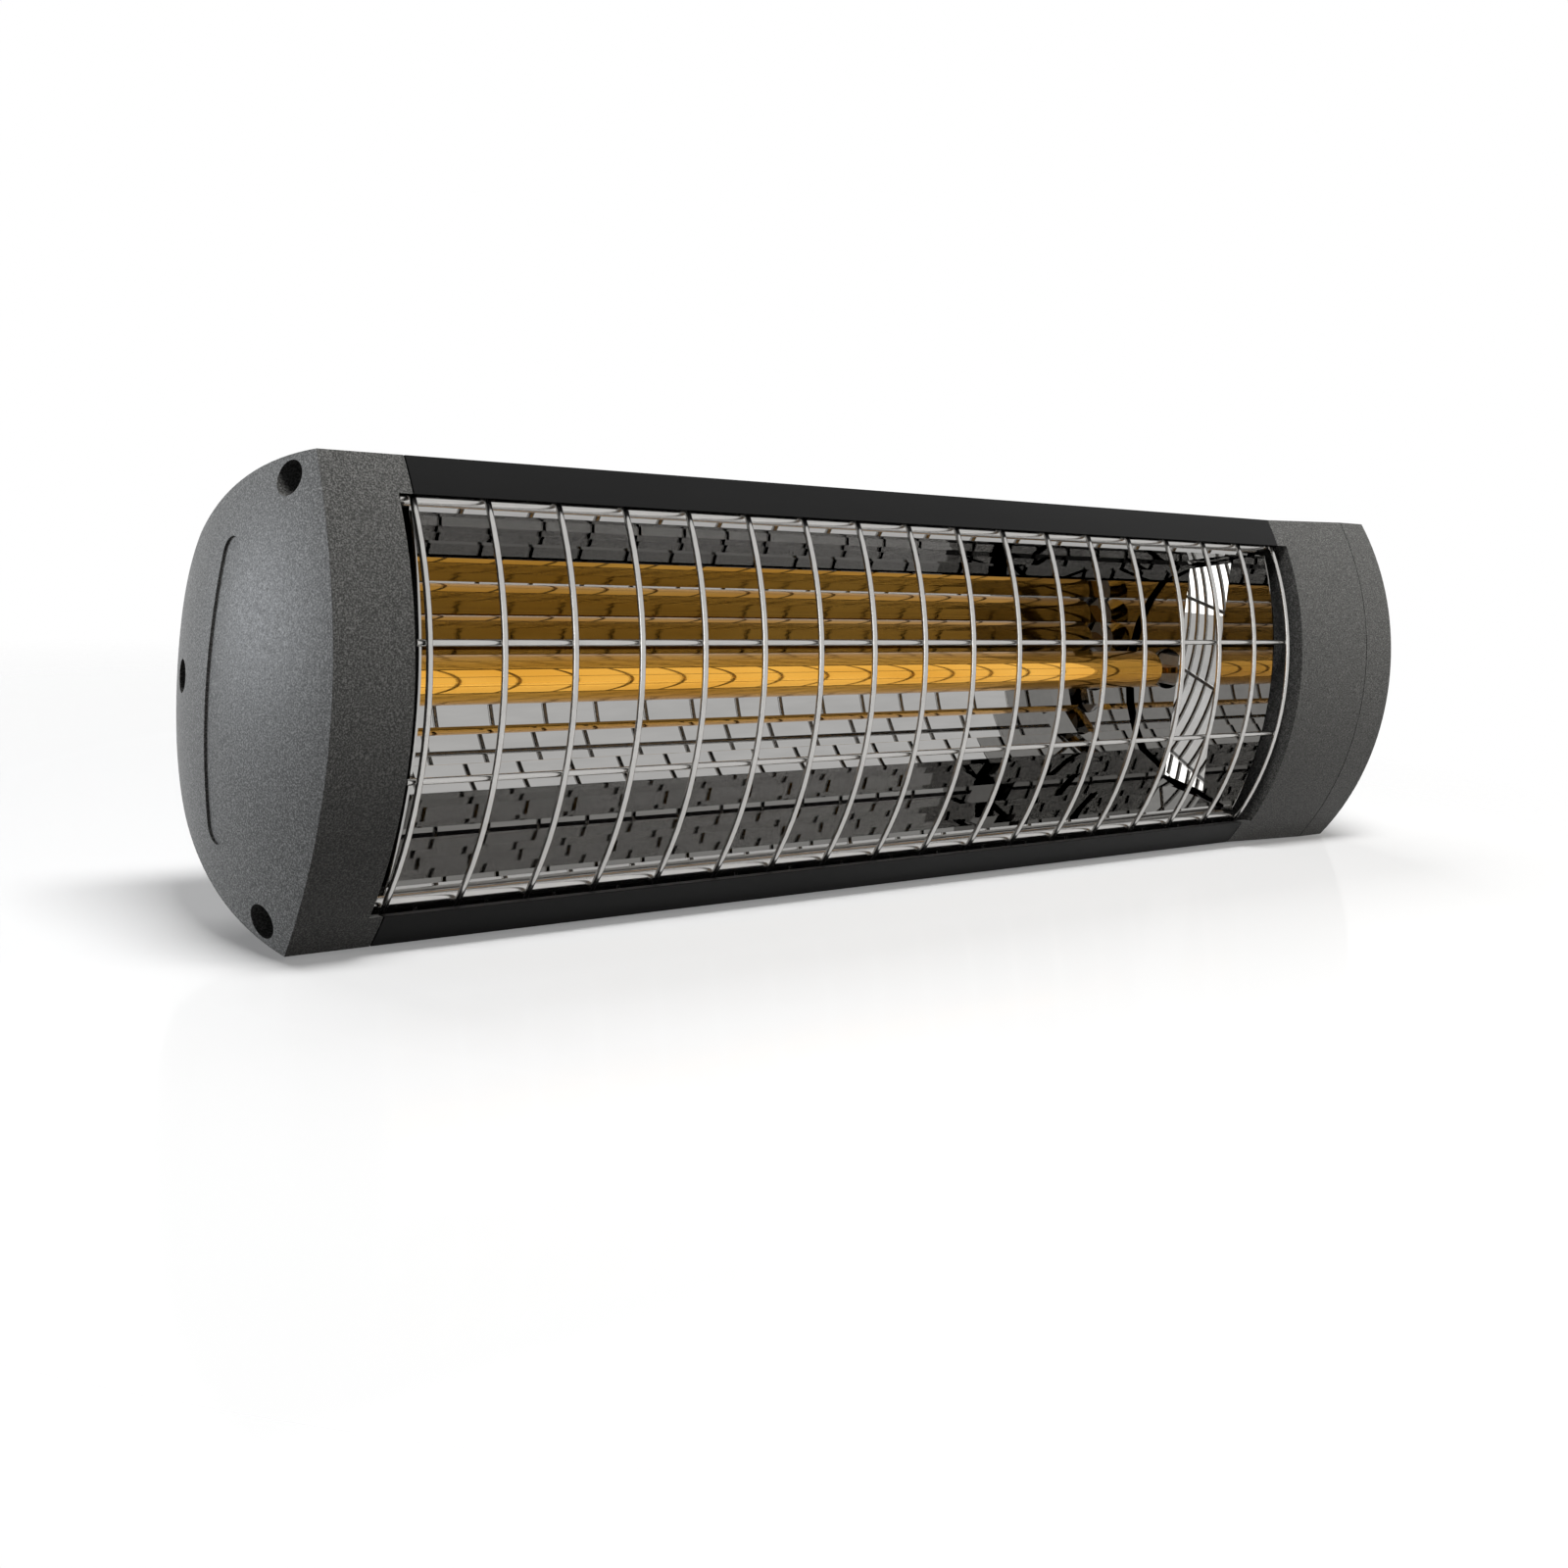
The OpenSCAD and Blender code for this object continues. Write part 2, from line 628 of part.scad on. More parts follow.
module reflector_trough() color([0.82, 0.82, 0.82]) placed()
  along(-trough_l / 2, trough_l) polygon(concat(trough_line, reversed(moved(trough_line, sheet_t))));

module mirror_plate() placed() along(mirror_x, mirror_t) difference() {
  intersection() {
    outline(wall + room);
    translate([mirror_front_r - mirror_front, 0]) circle(r = mirror_front_r, $fn = 180);
    translate([-front_rise, -mirror_z]) square([front_rise + floor_front - room, 2 * mirror_z]);
  }
  translate([lamp_depth, 0]) circle(r = lamp_hole_d / 2, $fn = 64);
  translate([lead_run_d, lead_run_z]) circle(r = lead_d / 2 + room, $fn = 32);
}

module mirror_plate_left() color([0.85, 0.85, 0.85]) at_end(-1) mirror_plate();
module mirror_plate_right() color([0.85, 0.85, 0.85]) mirror_plate();

// Folded sheet that carries one end of the lamp
module lamp_frame() color([0.62, 0.63, 0.64]) placed() {
  difference() {
    union() {
      along(mirror_back, frame_t) intersection() {
        outline(wall + room);
        translate([frame_d, -frame_h / 2]) square([floor_front - room - frame_d, frame_h]);
      }
      for (s = [1, -1]) {
        translate([mirror_back, foot_d - foot_w / 2, s > 0 ? frame_h / 2 - frame_t : -frame_h / 2])
          cube([foot_offset + frame_t, foot_w, frame_t]);
        translate([foot_x, foot_d - foot_w / 2,
          s > 0 ? frame_h / 2 - frame_t : frame_t - frame_h / 2 - foot_h])
          cube([frame_t, foot_w, foot_h]);
      }
      bar(mirror_back, bush_x - mirror_back, rear_screw_d, 0, bush_r);
      translate([mirror_back, shelf_y, shelf_z - frame_t])
        cube([base_end - mirror_back, shelf_w, frame_t]);
    }
    bar(mirror_back - cut, 2 * frame_t + cut, lamp_depth, 0, lamp_hole_d / 2, 64);
    bar(mirror_back - cut, bush_x - mirror_back + 2 * cut, rear_screw_d, 0, screw_r + fit / 2);
    for (s = [1, -1]) {
      bar(foot_x - cut, frame_t + 2 * cut, foot_d, s * foot_z, small_r + room / 2, 32);
    }
    translate([strap_x, strap_y, shelf_z - frame_t - cut])
      cylinder(h = frame_t + 2 * cut, r = small_r + fit / 2, $fn = 32);
  }
}

module lamp_frame_left() at_end(-1) lamp_frame();
module lamp_frame_right() lamp_frame();

module frame_screws() color([0.6, 0.6, 0.6]) placed()
  for (e = [1, -1]) at_end(e) for (s = [1, -1])
    translate([foot_x, foot_d, s * foot_z]) rotate([0, -90, 0]) small_screw(web_back - foot_x - fit);

module lamp_tube() color([0.72, 0.45, 0.1]) placed() difference() {
  bar(-tube_end, 2 * tube_end, lamp_depth, 0, lamp_r, 64);
  bar(-tube_end - cut, 2 * (tube_end + cut), lamp_depth, 0, lamp_r - lamp_wall, 64);
}

module lamp_seals() color([0.72, 0.5, 0.2]) placed() for (e = [1, -1]) at_end(e) {
  translate([tube_end, lamp_depth, 0]) rotate([0, 90, 0])
    cylinder(h = shoulder_l, r1 = lamp_r, r2 = seal_w / 4, $fn = 64);
  translate([tube_end + shoulder_l / 2, lamp_depth - seal_w / 2, -seal_t / 2])
    cube([seal_end - tube_end - shoulder_l / 2, seal_w, seal_t]);
}

// Loose spiral of one unbroken wire, from one end of the tube to the other
coil_r = coil_d / 2;
fil_r = filament_d / 2;
coil_l = 2 * tube_end - 8 * filament_d;
curl_steps = 8;
coil_steps = curl_count * curl_steps;
coil_run = [for (i = [0:coil_steps]) let(a = i * 360 / curl_steps, x = (i / coil_steps - 0.5) * coil_l)
  [x, coil_r * cos(a), coil_r * sin(a)]];
coil_line = concat([[-tube_end, 0, 0], [-tube_end + 1.5 * filament_d, 0, 0]], coil_run,
  [[tube_end - 1.5 * filament_d, 0, 0], [tube_end, 0, 0]]);

// Unit direction of a line of points at point i
function heading(p, i) = let(a = p[max(i - 1, 0)], b = p[min(i + 1, len(p) - 1)]) (b - a) / norm(b - a);
// Ring of n points round point i of a line, with a fixed direction to start from
function ring(p, i, r, n, up) = let(h = heading(p, i), q = cross(h, up), u = q / norm(q), v = cross(h, u))
  [for (k = [0:n - 1]) p[i] + r * (cos(k * 360 / n) * u + sin(k * 360 / n) * v)];
// Tube with closed ends along a line of points
module tube(p, r, n, ups) {
  m = len(p);
  points = [for (i = [0:m - 1]) each ring(p, i, r, n, ups[i])];
  sides = [for (i = [0:m - 2], k = [0:n - 1]) let(a = i * n + k, b = i * n + (k + 1) % n)
    each [[b, a, a + n], [b + n, b, a + n]]];
  ends = concat([[for (k = [0:n - 1]) k]], [[for (k = [n - 1:-1:0]) (m - 1) * n + k]]);
  polyhedron(points = points, faces = concat(sides, ends));
}
// Direction away from the lamp's axis, kept steady near the ends
function away(p) = norm([p[1], p[2]]) > fil_r ? [0, p[1], p[2]] : [0, 1, 0];

module lamp_filament() color([0.25, 0.22, 0.2]) placed() translate([0, lamp_depth, 0])
  tube(coil_line, fil_r, 6, [for (p = coil_line) away(p)]);

// Least gap of the spiral to its next curl
coil_gap = min([for (i = [curl_steps / 2 + 1:2 * curl_steps]) norm(coil_run[i] - coil_run[0])])
  - filament_d;
echo(coil_gap = coil_gap);

// Ceramic block that holds the flat seal and lets the lead out
module lamp_base() color([0.88, 0.87, 0.83]) placed() difference() {
  intersection() {
    translate([base_x, lamp_depth - base_d / 2, -base_h / 2]) cube([base_l, base_d, base_h]);
    bar(base_x, base_l, lamp_depth, 0, (base_d + base_h) * 0.335, 64);
  }
  translate([base_x - cut, lamp_depth - seal_w / 2 - fit, -seal_t / 2 - fit])
    cube([base_l / 2 + cut + fit, seal_w + 2 * fit, seal_t + 2 * fit]);
  bar(base_x + base_l / 2 + cut, base_l, lamp_depth, 0, lead_d / 2 + 4 * fit, 32);
}

module lamp_base_left() at_end(-1) lamp_base();
module lamp_base_right() lamp_base();

module base_straps() color([0.7, 0.7, 0.7]) placed() for (e = [1, -1]) at_end(e) {
  w = base_d + 2 * fit;
  difference() {
    translate([strap_x - strap_w / 2, lamp_depth - w / 2 - strap_t - strap_foot, shelf_z])
      cube([strap_w, w + 2 * strap_t + strap_foot, base_h + 2 * fit + strap_t]);
    translate([strap_x - strap_w / 2 - cut, lamp_depth - w / 2, shelf_z - cut])
      cube([strap_w + 2 * cut, w, base_h + 2 * fit + cut]);
    translate([strap_x - strap_w / 2 - cut, lamp_depth - w / 2 - strap_t - strap_foot - cut,
      shelf_z + strap_t])
      cube([strap_w + 2 * cut, strap_foot + cut, base_h + strap_t + cut]);
    translate([strap_x, strap_y, shelf_z - cut]) cylinder(h = strap_t + 2 * cut, r = small_r + room / 2,
      $fn = 32);
  }
}

module strap_screws() color([0.6, 0.6, 0.6]) placed() for (e = [1, -1]) at_end(e)
  translate([strap_x, strap_y, shelf_z + strap_t]) small_screw(strap_t + 2 * frame_t);

// Bends of a lead as a smooth line through hand-set points
function between(a, b, c, d, t) = 0.5 * (2 * b + (c - a) * t + (2 * a - 5 * b + 4 * c - d) * t * t
  + (3 * b - a - 3 * c + d) * t * t * t);
function smooth(p, n) = let(m = len(p)) concat([for (i = [0:m - 2], k = [0:n - 1])
  between(p[max(i - 1, 0)], p[i], p[i + 1], p[min(i + 2, m - 1)], k / n)], [p[m - 1]]);

lead_start = base_x + base_l / 2 + 2 * cut;
// Length that the leads' bends are measured in
turn = lead_d * 5 / 3;
// Place of the long lead behind the trough's second bend
lead_run_d = half_bends[2][0] + room;
lead_run_z = -half_bends[2][1] - sheet_t - lead_d / 2 - 2.5 * room;
block_x = web_back + fit;
clamp_x = block_x + block_l;
// End of a lead in its terminal
function in_clamp(y) = [for (x = [0.6, -0.2, -0.8]) [clamp_x + x * turn, y, block_z]];
left_route = concat(
  [for (q = [[0, 0], [0.8, 0.05], [1, 0.19], [1, 0.38], [0.8, 0.63]])
    [-base_end - q[0] * turn, lamp_depth, q[1] * lead_run_z]],
  [[-base_end + 0.2 * turn, (lamp_depth + lead_run_d) / 2, 0.86 * lead_run_z],
    [-base_end + 1.6 * turn, lead_run_d, 0.97 * lead_run_z],
    [-joint_x - 0.4 * turn, lead_run_d, lead_run_z]],
  [for (x = [-0.9:0.3:0.9]) [x * joint_x, lead_run_d, lead_run_z]],
  [[joint_x + 0.8 * turn, lead_run_d, lead_run_z], [web_back + 0.8 * turn, lead_run_d, lead_run_z],
    [clamp_x + 0.4 * turn, lead_run_d, 0.97 * lead_run_z], [clamp_x + 1.6 * turn, lead_run_d,
      0.88 * lead_run_z],
    [clamp_x + 1.8 * turn, lamp_depth, block_z - turn]], in_clamp(lamp_depth));
right_route = concat([[base_end + 0.4 * turn, lamp_depth, 0], [base_end + 1.4 * turn, lamp_depth,
  -0.4 * turn],
    [base_end + 2 * turn, lamp_depth - 0.6 * turn, -1.8 * turn],
    [base_end + 2 * turn, lamp_depth - 1.4 * turn, -4 * turn],
    [clamp_x + 1.4 * turn, lamp_depth - terminal_step, block_z + 0.6 * turn]],
      in_clamp(lamp_depth - terminal_step));
earth_route = concat([[web_back + frame_t + lead_d / 2 + fit, earth_depth, earth_z - turn],
    [web_back + turn, earth_depth, earth_z - 1.8 * turn], [base_end + 2 * turn, earth_depth + 0.4 * turn,
      0.64 * earth_z],
    [base_end + 3.6 * turn, earth_depth + 1.6 * turn, 0.26 * earth_z], [base_end + 4 * turn,
      lamp_depth + turn, -1.2 * turn],
    [base_end + 2.8 * turn, lamp_depth + 1.8 * turn, 0.7 * block_z]], in_clamp(lamp_depth + terminal_step));

module lead(route, n) color([0.75, 0.73, 0.7]) placed() {
  p = smooth(route, n);
  tube(p, lead_d / 2, 8, [for (i = [0:len(p) - 1]) let(h = heading(p, i)) abs(h[1]) < 0.8 ? [0, 1,
    0] : [0, 0, 1]]);
}

module lead_left() lead(concat([[-lead_start, lamp_depth, 0]], left_route), 3);
module lead_right() lead(concat([[lead_start, lamp_depth, 0]], right_route), 3);
module lead_earth() lead(earth_route, 3);

module terminal_block() color([0.85, 0.84, 0.8]) placed() difference() {
  translate([block_x, lamp_depth - block_d / 2, block_z - block_h / 2]) cube([block_l, block_d, block_h]);
  for (s = [1, -1])
    bar(block_x - cut, block_l + 2 * cut, lamp_depth + s * terminal_step / 2, block_hole_z,
      small_r + room / 2, 32);
  for (i = [-1:1]) {
    bar(block_x + block_l / 3, block_l, lamp_depth + i * terminal_step, block_z, clamp_r + fit, 32);
    translate([block_x + block_l * 0.7, lamp_depth + i * terminal_step, block_z])
      cylinder(h = block_h, r = small_r + fit, $fn = 32);
  }
}

// Brass sleeves in the terminal block, each with its clamping screw
module terminal_clamps() color([0.8, 0.65, 0.3]) placed() for (i = [-1:1]) {
  difference() {
    bar(block_x + block_l / 3 + fit, block_l * 0.6, lamp_depth + i * terminal_step, block_z, clamp_r, 32);
    bar(block_x, block_l * 2, lamp_depth + i * terminal_step, block_z, lead_d / 2 + fit, 32);
  }
  translate([block_x + block_l * 0.7, lamp_depth + i * terminal_step, block_z + clamp_r + fit])
    cylinder(h = block_h / 2 - clamp_r - room, r = small_r, $fn = 24);
}

module block_screws() color([0.6, 0.6, 0.6]) placed() for (s = [1, -1])
  translate([clamp_x, lamp_depth + s * terminal_step / 2, block_hole_z]) rotate([0, 90, 0])
    small_screw(block_l + web_t);

// Earth screw through a ring tag, against the wall across the terminal housing
module earth_screw() color([0.8, 0.65, 0.3]) placed() {
  translate([web_back + frame_t, earth_depth, earth_z]) rotate([0, 90, 0]) small_screw(frame_t + web_t);
  difference() {
    union() {
      bar(web_back, frame_t, earth_depth, earth_z, small_head_r + room);
      translate([web_back, earth_depth - lead_d / 2, earth_z - small_head_r - lead_d])
        cube([frame_t, lead_d, small_head_r + lead_d]);
    }
    bar(web_back - cut, frame_t + 2 * cut, earth_depth, earth_z, small_r + room / 4, 32);
  }
}

gland_wall = pad_x - pad_step;
module gland_body() color([0.12, 0.12, 0.12]) placed() difference() {
  union() {
    hexagon(pad_x + fit, gland_r / 2, gland_depth, gland_z, gland_hex_w);
    bar(gland_wall - gland_r * 0.6, pad_step + gland_r * 0.6 + fit, gland_depth, gland_z, gland_r, 64);
    bar(pad_x + gland_r / 2, gland_r * 0.9, gland_depth, gland_z, gland_r * 0.9, 64);
  }
  bar(gland_wall - gland_r, 3 * gland_r, gland_depth, gland_z, gland_bore_r, 64);
}

module gland_locknut() color([0.12, 0.12, 0.12]) placed() difference() {
  hexagon(gland_wall - fit - gland_r * 0.4, gland_r * 0.4, gland_depth, gland_z, gland_hex_w);
  bar(gland_wall - gland_r, gland_r, gland_depth, gland_z, gland_r + fit, 64);
}

gland_face = pad_x + gland_r * 1.4;
module gland_seal() color([0.1, 0.1, 0.1]) placed() difference() {
  bar(gland_face + fit, gland_r * 0.3, gland_depth, gland_z, gland_r * 0.85, 64);
  bar(gland_face, gland_r, gland_depth, gland_z, gland_bore_r, 64);
}

module gland_cap_nut() color([0.12, 0.12, 0.12]) placed() difference() {
  union() {
    hexagon(pad_x + gland_r / 2 + 3 * fit, gland_r * 0.8, gland_depth, gland_z, gland_hex_w);
    bar(pad_x + gland_r * 1.2, gland_r * 0.75, gland_depth, gland_z, gland_r * 1.1, 64);
  }
  bar(pad_x, gland_r * 1.7 + 3 * fit, gland_depth, gland_z, gland_r * 0.9 + fit, 64);
  bar(pad_x, 3 * gland_r, gland_depth, gland_z, gland_bore_r + cut, 64);
}

module slide_nut(x) color([0.7, 0.7, 0.7]) placed() difference() {
  translate([x - nut_w / 2, channel_back - room / 4 - nut_t, -nut_w / 2]) cube([nut_w, nut_t, nut_w]);
  translate([x, channel_back + cut, 0]) rotate([90, 0, 0]) cylinder(h = nut_t + 2 * cut + room,
    r = nut_bore_r, $fn = 48);
}

module slide_nut_left() slide_nut(-nut_x);
module slide_nut_right() slide_nut(nut_x);

housing_profile();
end_cap_left();
terminal_housing();
end_cap_right();
gasket_left();
gasket_right();
gasket_end();
cap_screws_left();
cap_screws_right();
guard_arches();
guard_long_wires();
guard_rails();
reflector_trough();
mirror_plate_left();
mirror_plate_right();
lamp_frame_left();
lamp_frame_right();
frame_screws();
lamp_tube();
lamp_seals();
lamp_filament();
lamp_base_left();
lamp_base_right();
base_straps();
strap_screws();
lead_left();
lead_right();
lead_earth();
terminal_block();
terminal_clamps();
block_screws();
earth_screw();
gland_body();
gland_locknut();
gland_seal();
gland_cap_nut();
slide_nut_left();
slide_nut_right();
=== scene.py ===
import json
import math
import bmesh
import bpy
from mathutils import Matrix, Vector


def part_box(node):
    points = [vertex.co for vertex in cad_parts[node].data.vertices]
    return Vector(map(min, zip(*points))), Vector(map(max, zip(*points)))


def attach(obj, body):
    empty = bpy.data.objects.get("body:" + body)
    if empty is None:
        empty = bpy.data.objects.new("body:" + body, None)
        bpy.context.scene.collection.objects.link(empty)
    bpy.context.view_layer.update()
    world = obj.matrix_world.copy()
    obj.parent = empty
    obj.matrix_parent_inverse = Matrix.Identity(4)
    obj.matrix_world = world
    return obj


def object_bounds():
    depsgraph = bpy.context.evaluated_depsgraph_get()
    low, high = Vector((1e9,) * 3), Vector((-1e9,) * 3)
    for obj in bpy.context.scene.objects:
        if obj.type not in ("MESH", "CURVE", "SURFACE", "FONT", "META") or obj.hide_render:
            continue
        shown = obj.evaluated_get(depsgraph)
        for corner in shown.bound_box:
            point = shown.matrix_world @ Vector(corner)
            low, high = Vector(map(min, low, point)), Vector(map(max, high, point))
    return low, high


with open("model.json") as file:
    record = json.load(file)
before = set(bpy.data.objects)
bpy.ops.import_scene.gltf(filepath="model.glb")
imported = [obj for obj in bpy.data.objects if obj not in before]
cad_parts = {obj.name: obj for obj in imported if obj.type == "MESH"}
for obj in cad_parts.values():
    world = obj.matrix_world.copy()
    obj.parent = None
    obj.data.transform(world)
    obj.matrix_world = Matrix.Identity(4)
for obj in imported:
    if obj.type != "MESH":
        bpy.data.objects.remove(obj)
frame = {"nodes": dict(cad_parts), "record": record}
cad_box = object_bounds()
nodes = frame["nodes"]
scene = bpy.context.scene
scene.view_settings.view_transform = "Standard"

NOISE_LOW, NOISE_HIGH = 0.3, 0.7   # nearly all values of a noise texture lie between these
CREASE = math.radians(24)          # edges sharper than this stay sharp in the shading
OPAQUE_WHITE = (1, 1, 1, 1)


# ---------------------------------------------------------------- camera, fitted to the arched wires
PHOTO_PX = 1600                    # width and height of the photograph
FOCAL_PX = 1949.6
CENTRE_ABOVE_PX = 100              # the optical axis meets the photograph this far above its middle
SENSOR_MM = 36
RIGHT = Vector((0.73758829, -0.66856894, 0.09475806))
AHEAD = Vector((0.67506574, 0.72680523, -0.12665075))
UP = Vector((0.0158041, 0.15738403, 0.98741101))
EYE = Vector((-0.49529, -0.54253, 0.08459))

cam_data = bpy.data.cameras.new("camera")
cam = bpy.data.objects.new("camera", cam_data)
scene.collection.objects.link(cam)
cam_data.sensor_width = SENSOR_MM
cam_data.lens = SENSOR_MM * FOCAL_PX / PHOTO_PX
cam_data.shift_y = -CENTRE_ABOVE_PX / PHOTO_PX
cam_data.clip_start, cam_data.clip_end = 0.01, 50
cam.matrix_world = Matrix((
    (RIGHT.x, UP.x, -AHEAD.x, EYE.x),
    (RIGHT.y, UP.y, -AHEAD.y, EYE.y),
    (RIGHT.z, UP.z, -AHEAD.z, EYE.z),
    (0, 0, 0, 1)))
scene.camera = cam


# ---------------------------------------------------------------- materials
def grey(v):
    return (v, v, v)


def scaled(colour, factor):
    return tuple(min(1, factor * c) for c in colour)


class Shader:
    """A node material with a few short ways to add nodes."""

    def __init__(self, name):
        self.m = bpy.data.materials.new(name)
        self.m.use_nodes = True
        self.t = self.m.node_tree
        self.b = self.t.nodes["Principled BSDF"]
        self.co = self.t.nodes.new("ShaderNodeTexCoord").outputs["Object"]

    def link(self, a, b):
        self.t.links.new(a, b)

    def new(self, kind, **sockets):
        n = self.t.nodes.new("ShaderNode" + kind)
        for k, v in sockets.items():
            n.inputs[k.replace("_", " ")].default_value = v
        return n

    def set(self, **sockets):
        for k, v in sockets.items():
            self.b.inputs[k.replace("_", " ")].default_value = v
        return self

    def noise(self, scale, detail, stretch=None):
        """Noise in object coordinates; stretch below 1 along an axis draws it out along that axis."""
        n = self.new("TexNoise", Scale=scale, Detail=detail)
        if stretch:
            mapping = self.new("Mapping", Scale=stretch)
            self.link(self.co, mapping.inputs["Vector"])
            self.link(mapping.outputs[0], n.inputs["Vector"])
        else:
            self.link(self.co, n.inputs["Vector"])
        return n.outputs["Fac"]

    def ramp(self, fac, stops):
        r = self.t.nodes.new("ShaderNodeValToRGB")
        e = r.color_ramp.elements
        while len(e) > 1:
            e.remove(e[0])
        e[0].position, e[0].color = stops[0][0], (*stops[0][1], 1)
        for p, c in stops[1:]:
            e.new(p).color = (*c, 1)
        self.link(fac, r.inputs["Fac"])
        return r.outputs["Color"]

    def range(self, fac, lo, hi, a=0.0, b=1.0):
        n = self.new("MapRange", From_Min=lo, From_Max=hi, To_Min=a, To_Max=b)
        self.link(fac, n.inputs["Value"])
        return n.outputs["Result"]

    def colour(self, fac, stops):
        self.link(self.ramp(fac, stops), self.b.inputs["Base Color"])

    def two_tone(self, noise, low, high):
        self.colour(noise, [(NOISE_LOW, low), (NOISE_HIGH, high)])

    def roughness(self, noise, low, high):
        self.link(self.range(noise, NOISE_LOW, NOISE_HIGH, low, high), self.b.inputs["Roughness"])

    def bump(self, height, strength, distance, round_edge=0.0):
        """Relief from a noise; round_edge is the radius by which the shading softens sharp edges."""
        n = self.new("Bump", Strength=strength, Distance=distance)
        self.link(height, n.inputs["Height"])
        if round_edge:
            e = self.new("Bevel", Radius=round_edge)
            e.samples = 6
            self.link(e.outputs[0], n.inputs["Normal"])
        self.link(n.outputs[0], self.b.inputs["Normal"])


def powder(name, dark, light, rough):
    """Grainy powder coat: a dark ground with lighter specks and a fine relief."""
    s = Shader(name).set(Specular_IOR_Level=0.11)
    between = tuple(0.62 * a + 0.38 * b for a, b in zip(dark, light))
    s.colour(s.noise(2000, 2.0), [(0.38, dark), (0.53, between), (0.66, light)])
    s.roughness(s.noise(900, 3.0), rough - 0.06, rough + 0.06)
    s.bump(s.noise(1500, 2.5), 0.28, 0.00020, round_edge=0.0003)
    return s.m


def satin(name, colour, rough):
    """Smooth satin coat, its slight unevenness drawn out along the profile."""
    s = Shader(name).set(Specular_IOR_Level=0.06)
    s.two_tone(s.noise(60, 3.0, (0.2, 1, 1)), scaled(colour, 0.9), scaled(colour, 1.1))
    s.roughness(s.noise(40, 4.0, (0.3, 1, 1)), rough - 0.04, rough + 0.04)
    s.bump(s.noise(2600, 2.0), 0.12, 0.0001, round_edge=0.0004)
    return s.m


def metal(name, colour, rough, streak=(1, 1, 1), relief=0.05):
    s = Shader(name).set(Metallic=1.0)
    s.two_tone(s.noise(300, 3.0, streak), scaled(colour, 0.92), colour)
    s.roughness(s.noise(500, 3.0, streak), rough * 0.8, rough * 1.2)
    if relief:
        s.bump(s.noise(900, 3.0, streak), relief, 0.00005)
    return s.m


def amber(name):
    """The lamp's gold coating, drawn as a smooth, nearly metallic surface."""
    s = Shader(name).set(Metallic=0.85, IOR=1.46)
    s.two_tone(s.noise(120, 3.0, (0.1, 1, 1)), (0.84, 0.40, 0.045), (0.98, 0.52, 0.085))
    s.roughness(s.noise(200, 3.0, (0.2, 1, 1)), 0.03, 0.06)
    return s.m


def plain(name, colour, rough, scale=400, spread=0.08, relief=0.1):
    """Rubber, plastic, ceramic, sleeve: mottled by spread, with a relief three times as fine."""
    s = Shader(name)
    s.two_tone(s.noise(scale, 4.0), scaled(colour, 1 - spread), scaled(colour, 1 + spread))
    s.roughness(s.noise(scale * 0.5, 3.0), rough - 0.05, rough + 0.05)
    s.bump(s.noise(scale * 3, 2.0), relief, 0.0002)
    return s.m


LOOKS = {
    "profile_black": satin("profile_black", grey(0.0095), 0.42),
    "cap_coat": powder("cap_coat", (0.039, 0.039, 0.0375), (0.148, 0.147, 0.142), 0.46),
    "gasket": plain("gasket", grey(0.012), 0.7),
    "screw_steel": metal("screw_steel", (0.62, 0.62, 0.62), 0.28),
    "guard_steel": metal("guard_steel", (0.50, 0.49, 0.475), 0.20, streak=(0.3, 1, 1)),
    "mirror_sheet": metal("mirror_sheet", (0.405, 0.40, 0.39), 0.008, streak=(0.15, 1, 1), relief=0),
    "bracket_steel": metal("bracket_steel", (0.55, 0.56, 0.57), 0.32),
    "amber_tube": amber("amber_tube"),
    "filament": plain("filament", (0.03, 0.027, 0.025), 0.6),
    "ceramic": plain("ceramic", (0.78, 0.76, 0.70), 0.7),
    "lead_sleeve": plain("lead_sleeve", (0.60, 0.57, 0.50), 0.85, scale=2500, spread=0.2, relief=0.5),
    "brass": metal("brass", (0.80, 0.60, 0.26), 0.25),
    "gland_plastic": plain("gland_plastic", grey(0.018), 0.45),
}
part_slots = {sub["node"]: sub["material_slot"] for sub in frame["record"]["subparts"]}
for name, obj in nodes.items():
    for slot in obj.material_slots:
        slot.material = LOOKS[part_slots[name]]
    obj.data.shade_smooth()
    obj.data.set_sharp_from_angle(angle=CREASE)


def new_object(name, corners, faces):
    mesh = bpy.data.meshes.new(name)
    mesh.from_pydata(corners, [], faces)
    obj = bpy.data.objects.new(name, mesh)
    scene.collection.objects.link(obj)
    return obj


# ---------------------------------------------------------------- folded strip of each mirror plate
RIDGE_DEPTH = 0.074                # the housing's front ridges are this far in front of the row's Y = 0
FOLD_FRONT, FOLD_BACK = 0.014, 0.030   # the strip's edges, as depths behind the ridges
FOLD_RISE = 0.0068                 # how far its back edge stands off the plate
FOLD_HALF = 0.0505                 # half its height at the front edge
FOLD_TAPER = 0.28                  # loss of half height per metre of depth
FOLD_SECTION = (                   # (depth behind the ridges, distance off the plate)
    (FOLD_FRONT, 0.0),
    (FOLD_BACK, FOLD_RISE),
    (FOLD_BACK + 0.0012, 0.0),
    (FOLD_BACK + 0.0005, 0.0),
    (FOLD_BACK - 0.0003, FOLD_RISE - 0.0011),
    (FOLD_FRONT + 0.0020, 0.0),
)


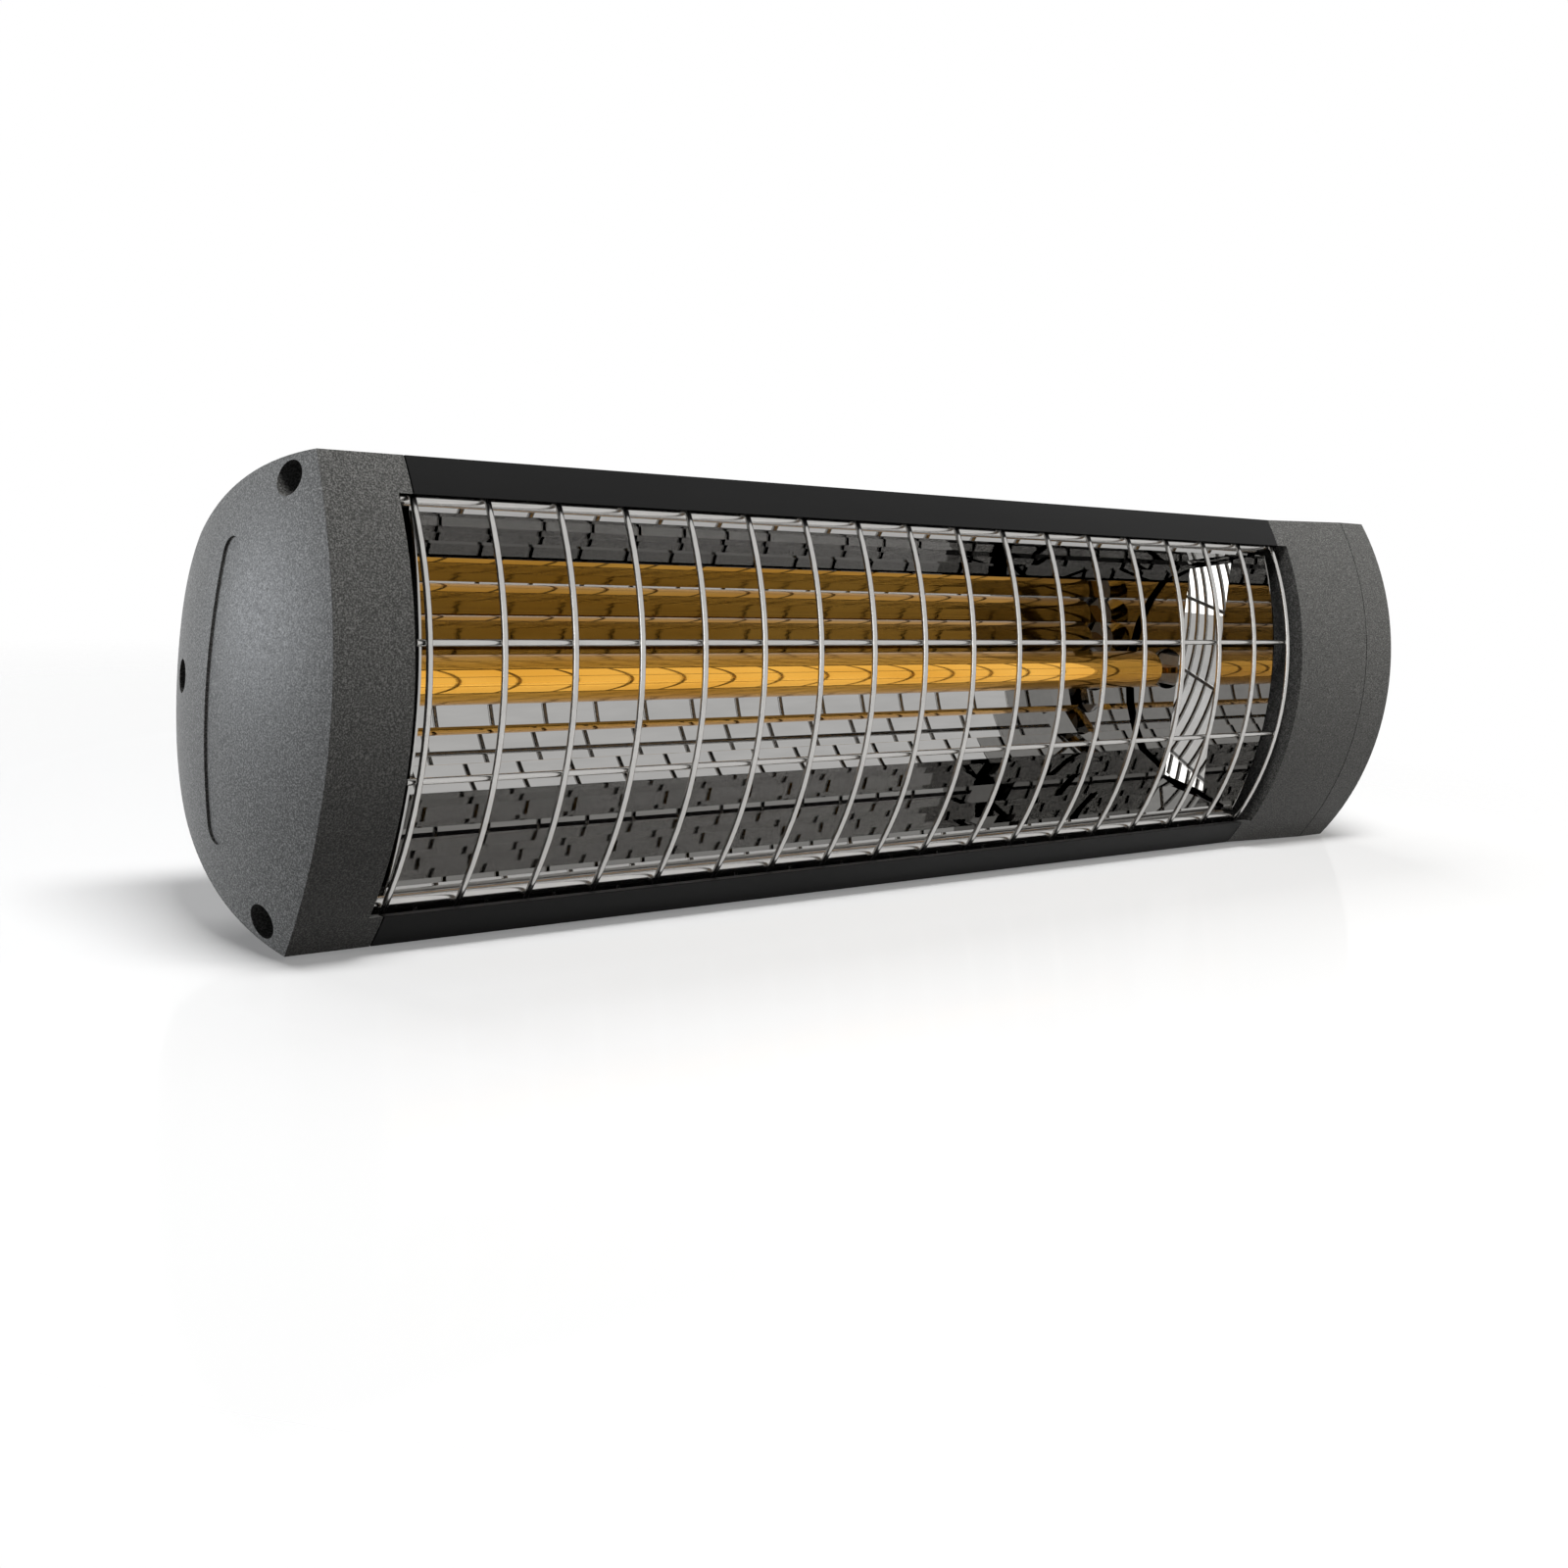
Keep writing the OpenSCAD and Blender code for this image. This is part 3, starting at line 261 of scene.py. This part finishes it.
def fold(name, body, side):
    """Strip of mirror sheet on a mirror plate, slanted towards the window and folded back to the plate."""
    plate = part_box("mirror_plate_right")[0].x
    corners, faces, n = [], [], len(FOLD_SECTION)
    for end in (-1, 1):
        for d, out in FOLD_SECTION:
            half = FOLD_HALF - FOLD_TAPER * (d - FOLD_FRONT)
            corners.append((side * (plate - out), d - RIDGE_DEPTH, end * half))
    for i in range(n):
        j = (i + 1) % n
        faces.append((i, j, n + j, n + i))
    faces.append(tuple(range(n - 1, -1, -1)))
    faces.append(tuple(range(n, 2 * n)))
    obj = new_object(name, corners, faces)
    bm = bmesh.new()
    bm.from_mesh(obj.data)
    bmesh.ops.recalc_face_normals(bm, faces=bm.faces)
    bm.to_mesh(obj.data)
    bm.free()
    obj.data.materials.append(LOOKS["mirror_sheet"])
    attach(obj, body)


fold("mirror_fold_left", "heater", -1)
fold("mirror_fold_right", "heater", 1)


# ---------------------------------------------------------------- floor and background
FLOOR_DROP = 0.0005                # gap between the object and the floor
FLOOR_HALF = 3.0
FLOOR_DARK, FLOOR_PALE = 0.05, 0.54    # its tone for diffuse rays, and where it shows
FLOOR_LIFT = 0.11                  # light of its own where it shows, so that it comes out white
FLOOR_GLOSS = 0.06                 # share of the faint reflection
FADE_START, FADE_END = 0.30, 0.58  # distances at which it passes into the white background
AMBIENT = 0.05                     # the world's strength for diffuse rays; it shows as white


def shown(tree):
    """1 for the rays that show the background: camera, glossy and transmission rays."""
    rays = tree.nodes.new("ShaderNodeLightPath")
    out = rays.outputs["Is Camera Ray"]
    for kind in ("Is Glossy Ray", "Is Transmission Ray"):
        either = tree.nodes.new("ShaderNodeMath")
        either.operation = "MAXIMUM"
        tree.links.new(out, either.inputs[0])
        tree.links.new(rays.outputs[kind], either.inputs[1])
        out = either.outputs[0]
    return out


def floor_material():
    s = Shader("floor").set(Roughness=0.9, Specular_IOR_Level=0.0)
    seen = shown(s.t)
    s.colour(seen, [(0.0, grey(FLOOR_DARK)), (1.0, grey(FLOOR_PALE))])
    gloss = s.new("BsdfAnisotropic", Color=OPAQUE_WHITE, Roughness=0.08)
    coated = s.new("MixShader", Fac=FLOOR_GLOSS)
    s.link(s.b.outputs[0], coated.inputs[1])
    s.link(gloss.outputs[0], coated.inputs[2])
    lift = s.new("Emission", Color=OPAQUE_WHITE)
    s.link(s.range(seen, 0, 1, 0, FLOOR_LIFT), lift.inputs["Strength"])
    lifted = s.new("AddShader")
    s.link(coated.outputs[0], lifted.inputs[0])
    s.link(lift.outputs[0], lifted.inputs[1])
    away = s.new("VectorMath")
    away.operation = "LENGTH"
    s.link(s.co, away.inputs[0])
    clear = s.new("BsdfTransparent")
    fade = s.new("MixShader")
    s.link(s.range(away.outputs["Value"], FADE_START, FADE_END), fade.inputs["Fac"])
    s.link(lifted.outputs[0], fade.inputs[1])
    s.link(clear.outputs[0], fade.inputs[2])
    s.link(fade.outputs[0], s.t.nodes["Material Output"].inputs["Surface"])
    return s.m


floor_z = cad_box[0].z - FLOOR_DROP
floor_corners = [(x * FLOOR_HALF, y * FLOOR_HALF, floor_z) for x, y in ((-1, -1), (1, -1), (1, 1), (-1, 1))]
floor = new_object("floor", floor_corners, [(0, 1, 2, 3)])
floor.data.materials.append(floor_material())

world = bpy.data.worlds.new("world")
scene.world = world
world.use_nodes = True
sky = world.node_tree
background = sky.nodes["Background"]
background.inputs["Color"].default_value = OPAQUE_WHITE
level = sky.nodes.new("ShaderNodeMapRange")
level.inputs["To Min"].default_value = AMBIENT
sky.links.new(shown(sky), level.inputs["Value"])
sky.links.new(level.outputs[0], background.inputs["Strength"])


# ---------------------------------------------------------------- lamps
def softbox(name, place, target, size, watts, tint=(1, 1, 1), glossy=True):
    """Rectangular lamp that faces target. With glossy off it isn't reflected in metal."""
    data = bpy.data.lights.new(name, "AREA")
    data.shape = "RECTANGLE"
    data.size, data.size_y = size
    data.energy = watts
    data.color = tint
    obj = bpy.data.objects.new(name, data)
    scene.collection.objects.link(obj)
    obj.location = place
    obj.rotation_mode = "QUATERNION"
    obj.rotation_quaternion = (Vector(target) - Vector(place)).to_track_quat("-Z", "Y")
    obj.visible_glossy = glossy


softbox("above", (-0.16, -0.50, 1.50), (-0.05, 0, 0), (0.8, 0.4), 34, glossy=False)
softbox("back", (0.0, 0.9, 1.5), (0, 0, 0), (1.6, 0.8), 15, glossy=False)
softbox("left", (-2.1, -0.20, 0.12), (-0.2, 0, 0), (1.0, 0.5), 6)
softbox("rim", (-1.75, 1.05, 0.04), (-0.25, 0, 0), (1.3, 0.22), 50, tint=(0.90, 0.94, 1.0))
softbox("right", (1.10, -0.75, 0.30), (0.28, 0, 0), (0.5, 0.3), 9, tint=(1.0, 0.97, 0.92), glossy=False)
